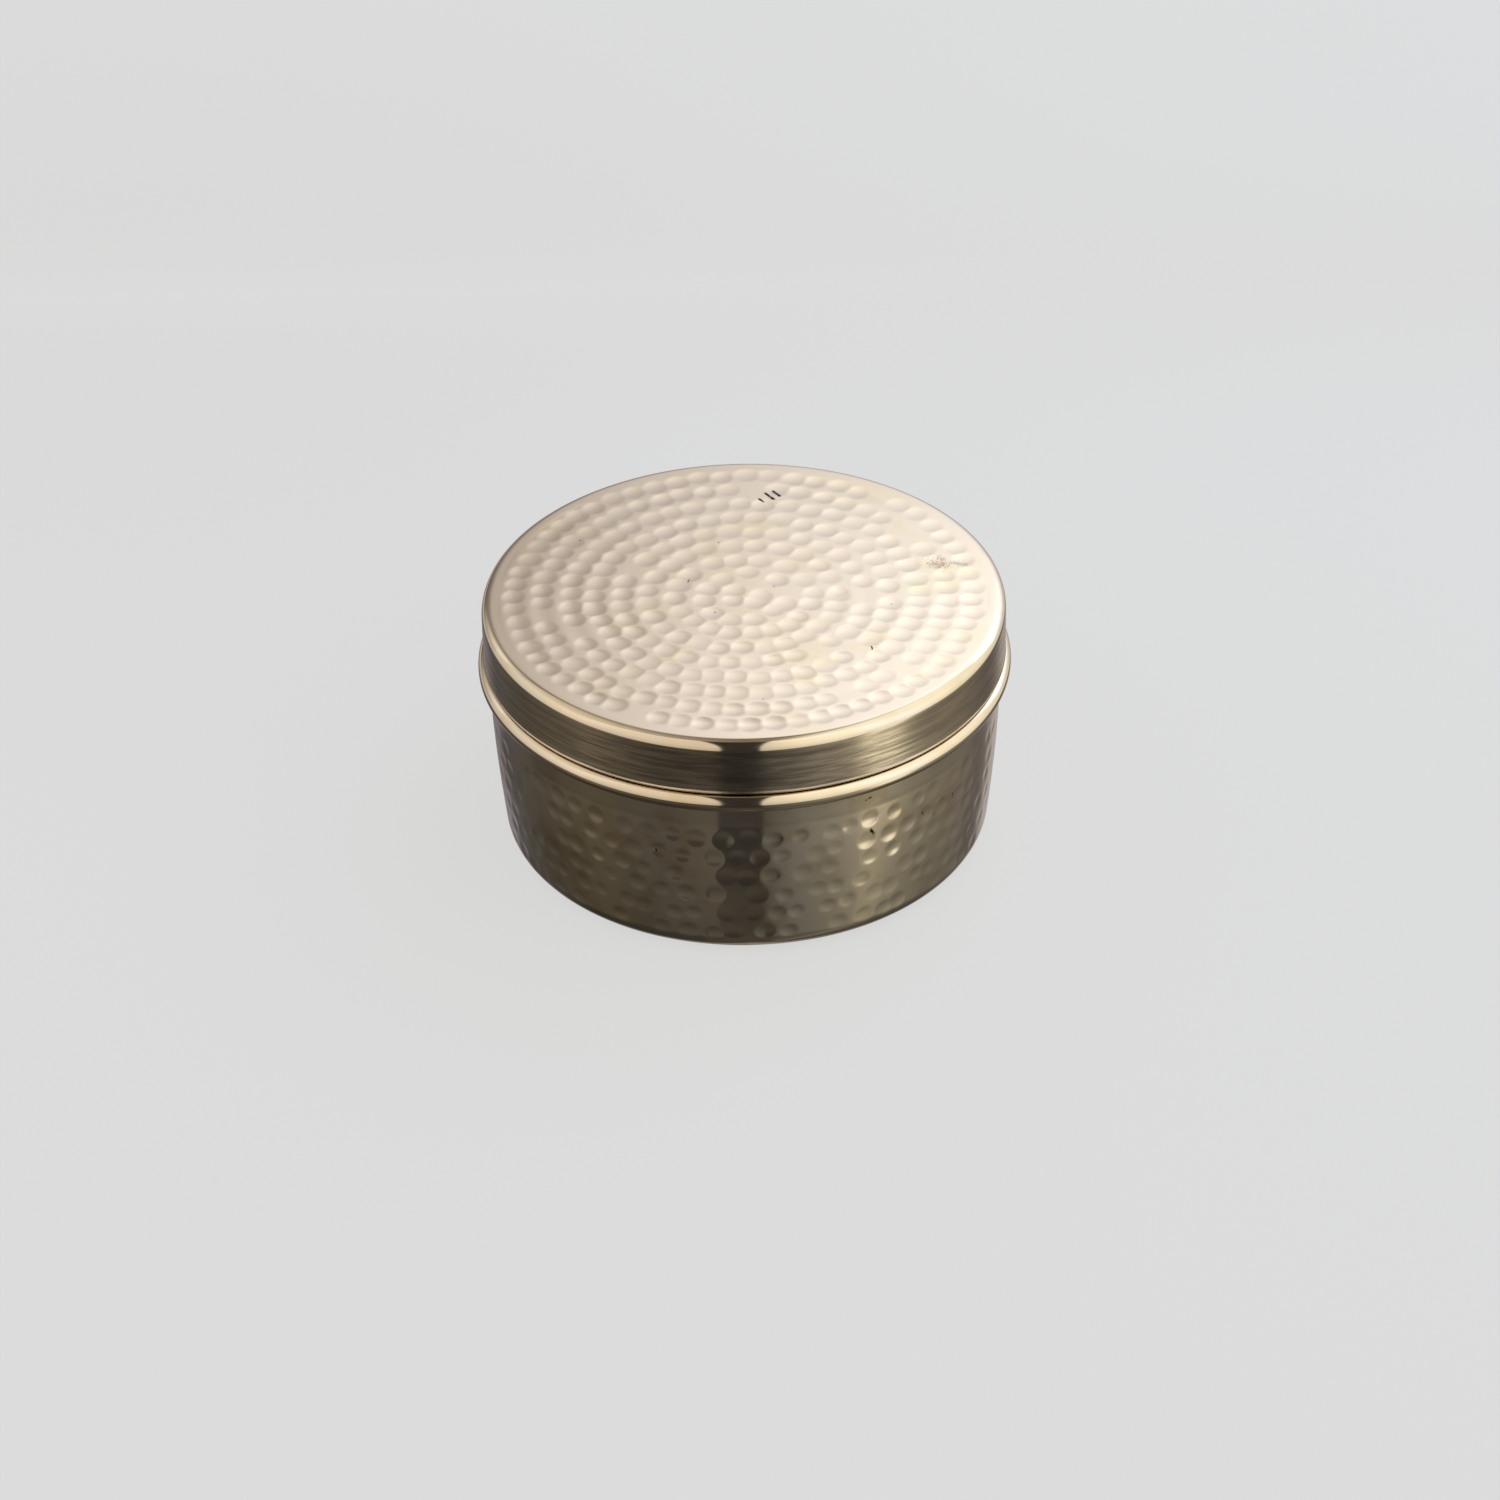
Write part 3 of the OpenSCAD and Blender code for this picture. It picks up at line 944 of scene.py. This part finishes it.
def body_outline():
    corner, bead = (FOOT_R, CORNER_R), (NECK_R, BEAD_Z)
    corner_end = on_arc(corner, CORNER_R, -LEAN_ANGLE)
    inner_corner_end = on_arc(corner, CORNER_R - SHEET, -LEAN_ANGLE)
    hammered_end = wall_r(HAMMERED_TOP), HAMMERED_TOP
    inner_end = wall_r(HAMMERED_TOP) - SHEET, HAMMERED_TOP
    under_bead = on_arc(bead, BEAD_R, -84)[1]
    lip = SHEET / 2
    groove_r = BEAD_R - SHEET
    groove_low = wall_r(BEAD_Z - groove_r) - SHEET, BEAD_Z - groove_r * 0.98
    inner_neck = NECK_R - SHEET
    return (stretch(line((0, 0), (FOOT_R, 0), 4 * MM), 4 * MM)
            + stretch(arc(corner, CORNER_R, -90, -45, 1.2 * MM), EDGE)
            + stretch(arc(corner, CORNER_R, -44, -LEAN_ANGLE, 0.8 * MM), FINE, (-1, 0))
            + stretch(bulged(line(corner_end, hammered_end, 0.8 * MM)), FINE, (-1, 0))
            + stretch(line(hammered_end, (wall_r(under_bead), under_bead), 1.2 * MM), EDGE)
            + stretch(arc(bead, BEAD_R, -80, 90, 0.4 * MM), EDGE)
            + stretch(line((NECK_R, BEAD_Z + BEAD_R), (NECK_R, NECK_TOP - lip), 2.5 * MM), PLAIN)
            + stretch(arc((NECK_R - lip, NECK_TOP - lip), lip, 0, 180, 0.25 * MM), PLAIN)
            + stretch(line((inner_neck, NECK_TOP - lip), (inner_neck, BEAD_Z + groove_r * 0.92), 2.5 * MM),
                      PLAIN)
            + stretch(arc(bead, groove_r, 112, -104, 0.7 * MM)[1:-1], PLAIN)
            + stretch(line(groove_low, inner_end, 2 * MM), PLAIN)
            + stretch(bulged(line(inner_end, inner_corner_end, 1.5 * MM)), PLAIN, (-1, 0))
            + stretch(arc(corner, CORNER_R - SHEET, -LEAN_ANGLE, -90, 1 * MM), PLAIN)
            + stretch(line((FOOT_R, SHEET), (0, SHEET), 4 * MM), 4 * MM))


body = spin("box_shell", body_outline())
hammer(body, HAMMERED_WALL, WALL_BRASS, Seed=3, Smallest_radius=0.0031, Largest_radius=0.0041, Depth=0.0002,
       Unevenness=0.0003, Wander=0.0007, Rows=6, Blows_in_a_row=62, Missed_blows=0.1)


def body_finish(radius, height):
    """Polished brass on the bead, brushed on the neck and inside, hammered on the wall and the foot."""
    if abs(height - BEAD_Z) < BEAD_R and radius > NECK_R:
        return 1
    if height > BEAD_Z or radius < wall_r(height) - SHEET * 0.5 - CORNER_R * (height < CORNER_R):
        return 2
    return 0


paint(body, [WALL_BRASS, POLISHED_BRASS, SKIRT_BRASS], body_finish)
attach(body, "box")
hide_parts("box_body")
print(body.name, "has", len(body.data.materials), "finishes")

# %% [markdown]
# ## The bowls
# Seven equal bowls are spun from thinner sheet, with their lip rolled outwards
# over a wire. One outline makes them all, moved to where each CAD bowl stands.

# %% The bowls
BOWL_SHEET = 0.9 * MM
ROLL_R = 1.3 * MM
BOWL_CORNER_R = 5 * MM
BOWL_TAPER = 4.4 * MM


def bowl_outline():
    low, top = bowl_low.z, bowl_high.z
    lip_r = bowl_high.x
    wall = lip_r - ROLL_R
    foot = lip_r - BOWL_TAPER - BOWL_CORNER_R
    rise, lean = top - ROLL_R - low - BOWL_CORNER_R, wall - foot - BOWL_CORNER_R
    tilt = math.degrees(math.atan2(lean, rise))
    corner = (foot, low + BOWL_CORNER_R)
    end = on_arc(corner, BOWL_CORNER_R, -tilt)
    inner_end = on_arc(corner, BOWL_CORNER_R - BOWL_SHEET, -tilt)[0], end[1]
    cell = 1.4 * MM
    inner = wall - BOWL_SHEET
    return (stretch(line((0, low), (foot, low), 3 * MM), 3 * MM)
            + stretch(arc(corner, BOWL_CORNER_R, -90, -tilt, 0.7 * MM), cell)
            + stretch(line(end, (wall - 0.05 * MM, top - 2 * ROLL_R), 3 * MM), cell)
            + stretch(arc((wall, top - ROLL_R), ROLL_R, -80, 140, 0.3 * MM), cell)
            + stretch(line((inner, top - ROLL_R), inner_end, 3 * MM), cell)
            + stretch(arc(corner, BOWL_CORNER_R - BOWL_SHEET, -tilt, -90, 0.7 * MM), cell)
            + stretch(line((foot, low + BOWL_SHEET), (0, low + BOWL_SHEET), 3 * MM), 3 * MM))


def make_bowl(node):
    low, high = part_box(node)
    piece = spin(node + "_spun", bowl_outline())
    # the lathe lines follow this attribute, which keeps the place where the bowl was turned
    turned_in = piece.data.attributes.new("turned", "FLOAT_VECTOR", "POINT")
    turned_in.data.foreach_set("vector", [value for vertex in piece.data.vertices for value in vertex.co])
    for vertex in piece.data.vertices:
        vertex.co.x += (low.x + high.x) / 2
        vertex.co.y += (low.y + high.y) / 2
    piece.data.attributes.remove(piece.data.attributes["push"])
    piece.data.materials.append(BOWL_BRASS)
    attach(piece, node)
    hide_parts(node)
    return piece


bowls = [make_bowl(name) for name in frame["bodies"] if "bowl" in name]
print(len(bowls), "bowls of", len(bowls[0].data.polygons), "faces")

# %% [markdown]
# ## The spoon
# The spoon is pressed from one strip: a round dish, hollow like part of a
# ball, and a flat handle with a low rib and a round end. The dish is spun like
# the bowls. The handle is a row of flat oval sections joined along its length.
# A Boolean joins the two into one closed shape, which is then laid on the bowls.

# %% The spoon
SPOON_SHEET = 1.2 * MM
DISH_R, DISH_DEPTH = 14 * MM, 6 * MM
BALL_R = (DISH_R ** 2 + DISH_DEPTH ** 2) / (2 * DISH_DEPTH)
HANDLE_Z = DISH_DEPTH - BALL_R
HANDLE_END_X = 96 * MM
HANDLE_W, HANDLE_END_W = 5 * MM, 8 * MM
spoon_low, spoon_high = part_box("spoon")


def dish():
    rim_z = HANDLE_Z + SPOON_SHEET / 2
    outer_end = math.degrees(math.asin(rim_z / BALL_R))
    inner_r = BALL_R - SPOON_SHEET
    inner_end = math.degrees(math.asin(rim_z / inner_r))
    outer, inner = BALL_R * math.cos(math.radians(outer_end)), inner_r * math.cos(math.radians(inner_end))
    return spin("dish", (
        stretch(arc((0, 0), BALL_R, -90, outer_end, 0.9 * MM), 0.9 * MM)
        + stretch(arc(((outer + inner) / 2, rim_z), (outer - inner) / 2, 0, 180, 0.25 * MM)[1:-1], 0.9 * MM)
        + stretch(arc((0, 0), inner_r, inner_end, -90, 0.9 * MM), 0.9 * MM)))


def half_width(x):
    """Half the handle's width: it widens evenly, then ends in half a circle."""
    start, round_x = DISH_R - SPOON_SHEET, HANDLE_END_X - HANDLE_END_W / 2
    if x > round_x:
        return math.sqrt(max((HANDLE_END_W / 2) ** 2 - (x - round_x) ** 2, 1e-9))
    share = (x - start) / (round_x - start)
    return (HANDLE_W + (HANDLE_END_W - HANDLE_W) * share) / 2


def handle():
    """Flat oval sections, with a low rib along the top, joined along the handle."""
    round_x = HANDLE_END_X - HANDLE_END_W / 2
    places = [p[0] for p in line((DISH_R - SPOON_SHEET, 0), (round_x, 0), 2 * MM)]
    places += [round_x + HANDLE_END_W / 2 * math.sin(math.radians(a)) for a in range(9, 90, 9)]
    count = 32
    bm = bmesh.new()
    rows = []
    for x in places:
        half = half_width(x)
        row = []
        for k in range(count):
            cos, sin = math.cos(2 * math.pi * k / count), math.sin(2 * math.pi * k / count)
            side = math.copysign(abs(cos) ** 0.7, cos)
            rise = math.copysign(abs(sin) ** 0.5, sin)
            rib = 0.22 * MM * math.exp(-(side * half / (1.1 * MM)) ** 2) * (sin > 0)
            row.append(bm.verts.new((x, half * side, HANDLE_Z + SPOON_SHEET / 2 * (1 + rise) + rib)))
        rows.append(row)
    for a, b in zip(rows, rows[1:]):
        for k in range(count):
            bm.faces.new((a[k], b[k], b[(k + 1) % count], a[(k + 1) % count]))
    bm.faces.new(rows[0])
    bm.faces.new(rows[-1][::-1])
    mesh = bpy.data.meshes.new("handle")
    bm.to_mesh(mesh)
    bm.free()
    face_outwards(mesh)
    return placed("handle", mesh)


def make_spoon():
    piece, stick = dish(), handle()
    piece.data.attributes.remove(piece.data.attributes["push"])
    join = piece.modifiers.new("join", "BOOLEAN")
    join.operation = "UNION"
    join.solver = "EXACT"
    join.object = stick
    piece.data = bpy.data.meshes.new_from_object(piece.evaluated_get(bpy.context.evaluated_depsgraph_get()))
    piece.modifiers.clear()
    bpy.data.objects.remove(stick)
    piece.name = piece.data.name = "spoon_pressed"
    across = bowls[1].data.vertices[0].co.xy.length / math.sqrt(3)
    laid = (Matrix.Rotation(SPOON_BEARING, 4, "Z") @ Matrix.Translation((across, 0, 0))
            @ Matrix.Rotation(math.pi, 4, "Z") @ Matrix.Rotation(SPOON_TILT, 4, "Y"))
    piece.data.transform(laid)
    lowest = min(vertex.co.z for vertex in piece.data.vertices)
    piece.data.transform(Matrix.Translation((0, 0, spoon_low.z - lowest)))
    piece.data.materials.clear()
    piece.data.materials.append(SPOON_BRASS)
    face_outwards(piece.data)
    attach(piece, "spoon")
    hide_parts("spoon")
    print("spoon of", len(piece.data.polygons), "faces")


SPOON_TILT = math.radians(2.93)
make_spoon()

# %% [markdown]
# ## The studio
# Polished metal shows nothing but its surroundings, so the surroundings are
# made with care: bright screens all round, with a narrow dark gap between them
# in front, and a dark table and floor below them. They are painted on the world
# by direction, level by level. The screen behind the box stands close to it,
# because its reflection has to change across the lid.

# %% World


def ramp(tree, value, stops):
    """A colour ramp through given (position, colour) stops."""
    made = add(tree, "ShaderNodeValToRGB", {"Fac": value})
    ramp_stops = made.color_ramp.elements
    while len(ramp_stops) > 1:
        ramp_stops.remove(ramp_stops[-1])
    for i, (position, colour) in enumerate(stops):
        stop = ramp_stops[0] if i == 0 else ramp_stops.new(position)
        stop.position = position
        stop.color = (*colour, 1)
    return made.outputs[0]


def level(tree, around, stops):
    """The colours all round at one level, by the angle from the front with the right positive."""
    return ramp(tree, around, [((degrees + 180) / 360, colour) for degrees, colour in stops])


BACKDROP = (0.694, 0.694, 0.694, 1)
GAP, LOW_GAP = (0.034, 0.034, 0.042, 1), (0.062, 0.06, 0.07, 1)
# floor level, seen in the wall
FLOOR_STOPS = [
    (-168, (0.38, 0.36, 0.38)), (-156, (0.22, 0.215, 0.255)), (-144, (0.085, 0.088, 0.12)),
    (-132, (0.072, 0.073, 0.088)), (-114, (0.058, 0.055, 0.058)), (-78, (0.081, 0.077, 0.075)),
    (-70, (0.081, 0.076, 0.073)), (-60, (0.074, 0.072, 0.076)), (-45, (0.078, 0.078, 0.09)),
    (-20, (0.093, 0.09, 0.098)), (8, (0.09, 0.094, 0.11)), (24, (0.156, 0.163, 0.195)),
    (40, (0.195, 0.2, 0.225)), (54, (0.25, 0.255, 0.28)), (58, (0.31, 0.312, 0.315)),
    (64, (0.31, 0.312, 0.315)), (72, (0.25, 0.255, 0.27)), (84, (0.187, 0.19, 0.205)),
    (100, (0.15, 0.15, 0.16)), (124, (0.13, 0.13, 0.15)), (134, (0.095, 0.094, 0.102)),
    (144, (0.12, 0.118, 0.14)), (156, (0.3, 0.29, 0.32)), (168, (0.48, 0.45, 0.46))]
# table level, seen in the skirt of the lid
TABLE_STOPS = [
    (-168, (0.29, 0.28, 0.31)), (-156, (0.23, 0.22, 0.26)), (-144, (0.11, 0.11, 0.145)),
    (-132, (0.1, 0.1, 0.12)), (-114, (0.084, 0.083, 0.09)), (-84, (0.128, 0.125, 0.134)),
    (-72, (0.175, 0.163, 0.172)), (-56, (0.11, 0.105, 0.115)), (-38, (0.068, 0.069, 0.076)),
    (8, (0.085, 0.088, 0.105)), (24, (0.16, 0.166, 0.2)), (36, (0.27, 0.274, 0.322)),
    (48, (0.34, 0.34, 0.368)), (57, (1.0, 1.02, 1.1)), (68, (1.0, 1.02, 1.1)), (75, (0.42, 0.43, 0.46)),
    (84, (0.258, 0.26, 0.286)), (96, (0.22, 0.215, 0.235)), (120, (0.17, 0.165, 0.18)),
    (132, (0.125, 0.122, 0.14)), (144, (0.16, 0.152, 0.17)), (156, (0.4, 0.385, 0.42)),
    (168, (0.46, 0.43, 0.45))]
# the screens above the table, seen in the bead and in the rounded edge of the lid
SIDE_STOPS = [
    (-168, (0.39, 0.36, 0.36)), (-150, (0.6, 0.56, 0.6)), (-120, (0.72, 0.75, 0.94)),
    (-84, (0.86, 0.87, 1.03)), (-72, (0.92, 0.92, 1.1)), (-58, (0.79, 0.8, 0.94)),
    (-20, (0.73, 0.7, 0.76)), (8, (0.75, 0.78, 0.9)), (24, (1.0, 1.02, 1.15)), (48, (1.12, 1.2, 1.4)),
    (60, (1.2, 1.32, 1.75)), (72, (1.2, 1.3, 1.75)), (84, (1.15, 1.2, 1.4)), (110, (1.05, 1.1, 1.3)),
    (132, (0.96, 0.96, 1.05)), (150, (0.78, 0.75, 0.8)), (168, (0.55, 0.5, 0.52))]
# the ceiling, from left to right
ABOVE_STOPS = [
    (-0.7, (0.75, 0.74, 0.8)), (-0.4, (0.6, 0.59, 0.64)), (-0.2, (0.36, 0.35, 0.38)),
    (0.0, (0.21, 0.195, 0.2)), (0.07, (0.25, 0.24, 0.25)), (0.13, (0.55, 0.54, 0.6)),
    (0.2, (0.9, 0.92, 1.1)), (0.7, (1.1, 1.2, 1.4))]


def multiplied(tree, colour, share):
    return mixed_colour(tree, 1.0, colour, share, "MULTIPLY")


def ceiling_over(tree, direction, over):
    """Where the ceiling stands, seen in the tops of the bead and of the lid's edge, and its colours."""
    x, y, z = parts_of(tree, direction)
    edges = times(tree, smooth_step(tree, over, 80.0, 85.0), smooth_step(tree, over, 142.0, 130.0))
    colours = ramp(tree, plus(tree, x, 0.7), [(place + 0.7, colour) for place, colour in ABOVE_STOPS])
    return times(tree, edges, smooth_step(tree, z, 0.55, 0.72)), colours


def build_world():
    """Floor, table, screens and ceiling by height, then the gap in front, all hidden from the camera."""
    world = bpy.data.worlds.new("studio")
    bpy.context.scene.world = world
    world.use_nodes = True
    tree = world.node_tree
    direction = vec(tree, "NORMALIZE", add(tree, "ShaderNodeTexCoord").outputs["Generated"])
    x, y, z = parts_of(tree, direction)
    front = times(tree, y, -1.0)
    around = plus(tree, divided(tree, calc(tree, "ARCTAN2", x, front), 2 * math.pi), 0.5)
    height = times(tree, calc(tree, "ARCSINE", z), 180 / math.pi)
    over = times(tree, calc(tree, "ARCTAN2", z, front), 180 / math.pi)

    floor = multiplied(tree, level(tree, around, FLOOR_STOPS), mapped(tree, height, -56.0, -38.0, 0.55, 1.22))
    table = level(tree, around, TABLE_STOPS)
    seen = mixed_colour(tree, smooth_step(tree, height, -40.5, -34.5), floor, table)
    band = times(tree, smooth_step(tree, height, -38.0, -35.5), smooth_step(tree, height, -29.0, -31.5))
    band = times(tree, band, smooth_step(tree, calc(tree, "ABSOLUTE", plus(tree, x, 0.2)), 0.42, 0.26))
    seen = multiplied(tree, seen, minus(tree, 1.0, times(tree, band, 0.22)))
    side = multiplied(tree, level(tree, around, SIDE_STOPS), mapped(tree, height, -14.0, 26.0, 0.78, 1.04))
    seen = mixed_colour(tree, smooth_step(tree, height, -21.0, -13.5), seen, side)

    beside_gap = smooth_step(tree, calc(tree, "ABSOLUTE", plus(tree, x, 0.04)), 0.125, 0.145)
    beside_gap = calc(tree, "MAXIMUM", beside_gap, smooth_step(tree, y, -0.1, 0.1))
    gap = mixed_colour(tree, smooth_step(tree, height, -50.0, -38.0), LOW_GAP, GAP)
    parted = mixed_colour(tree, beside_gap, gap, seen)
    above, ceiling = ceiling_over(tree, direction, over)
    capped = mixed_colour(tree, above, parted, ceiling)
    is_camera = add(tree, "ShaderNodeLightPath").outputs["Is Camera Ray"]
    shown = mixed_colour(tree, is_camera, capped, BACKDROP)
    tree.links.new(shown, tree.nodes["Background"].inputs["Color"])


build_world()
print("made the world", bpy.context.scene.world.name)

# %% Screen behind the box
# colours by the distance to the right in metres, and shares of them by the height
SCREEN_STOPS = [
    (-0.6, (0.8, 0.83, 1.02)), (-0.46, (0.62, 0.64, 0.78)), (-0.35, (0.25, 0.25, 0.32)),
    (-0.26, (0.27, 0.273, 0.35)), (-0.12, (0.47, 0.478, 0.64)), (0.0, (0.84, 0.9, 1.26)),
    (0.12, (1.1, 1.23, 1.77)), (0.26, (1.35, 1.52, 2.2)), (0.4, (1.4, 1.6, 2.3))]
SCREEN_RISE = [
    (0.08, 0.42), (0.18, 0.68), (0.31, 0.94), (0.375, 1.08), (0.45, 1.2), (0.51, 1.18), (0.6, 0.98),
    (0.68, 0.8), (0.74, 0.6)]


def panel(name, corners):
    """A single face with a material of its own: the object and the material."""
    mesh = bpy.data.meshes.new(name)
    mesh.from_pydata(corners, [], [(0, 1, 2, 3)])
    material = bpy.data.materials.new(name)
    material.use_nodes = True
    mesh.materials.append(material)
    return placed(name, mesh), material


def screen_behind():
    """A tall glowing screen, brighter to the right and at half its height, that only reflections see."""
    half, low, high, depth = 0.75, 0.08, 0.74, 0.42
    screen, material = panel("screen", [(-half, depth, low), (half, depth, low), (half, depth, high),
                                        (-half, depth, high)])
    tree = material.node_tree
    tree.nodes.remove(tree.nodes["Principled BSDF"])
    x, y, z = parts_of(tree, here(tree))
    reach = 0.6
    across = mapped(tree, x, -reach, reach)
    colour = ramp(tree, across, [((place + reach) / (2 * reach), tint) for place, tint in SCREEN_STOPS])
    up = ramp(tree, z, [(place, (share,) * 3) for place, share in SCREEN_RISE])
    glow = add(tree, "ShaderNodeEmission", {"Color": colour, "Strength": up})
    tree.links.new(glow.outputs[0], tree.nodes["Material Output"].inputs["Surface"])
    screen.visible_camera = False
    screen.visible_shadow = False
    print("screen", 2 * half, "m wide")


screen_behind()

# %% Floor


def make_floor():
    """A wide pale floor that the metal doesn't reflect."""
    half = 12.0
    floor, material = panel("floor", [(-half, -half, 0), (half, -half, 0), (half, half, 0), (-half, half, 0)])
    shader = material.node_tree.nodes["Principled BSDF"]
    values = {"Base Color": (0.12, 0.118, 0.108, 1), "Roughness": 1.0, "Specular IOR Level": 0.0,
              "Emission Color": (1, 1, 0.985, 1), "Emission Strength": 0.62}
    for name, value in values.items():
        shader.inputs[name].default_value = value
    floor.visible_glossy = False
    floor.visible_diffuse = False
    print("floor", 2 * half, "m wide")


make_floor()
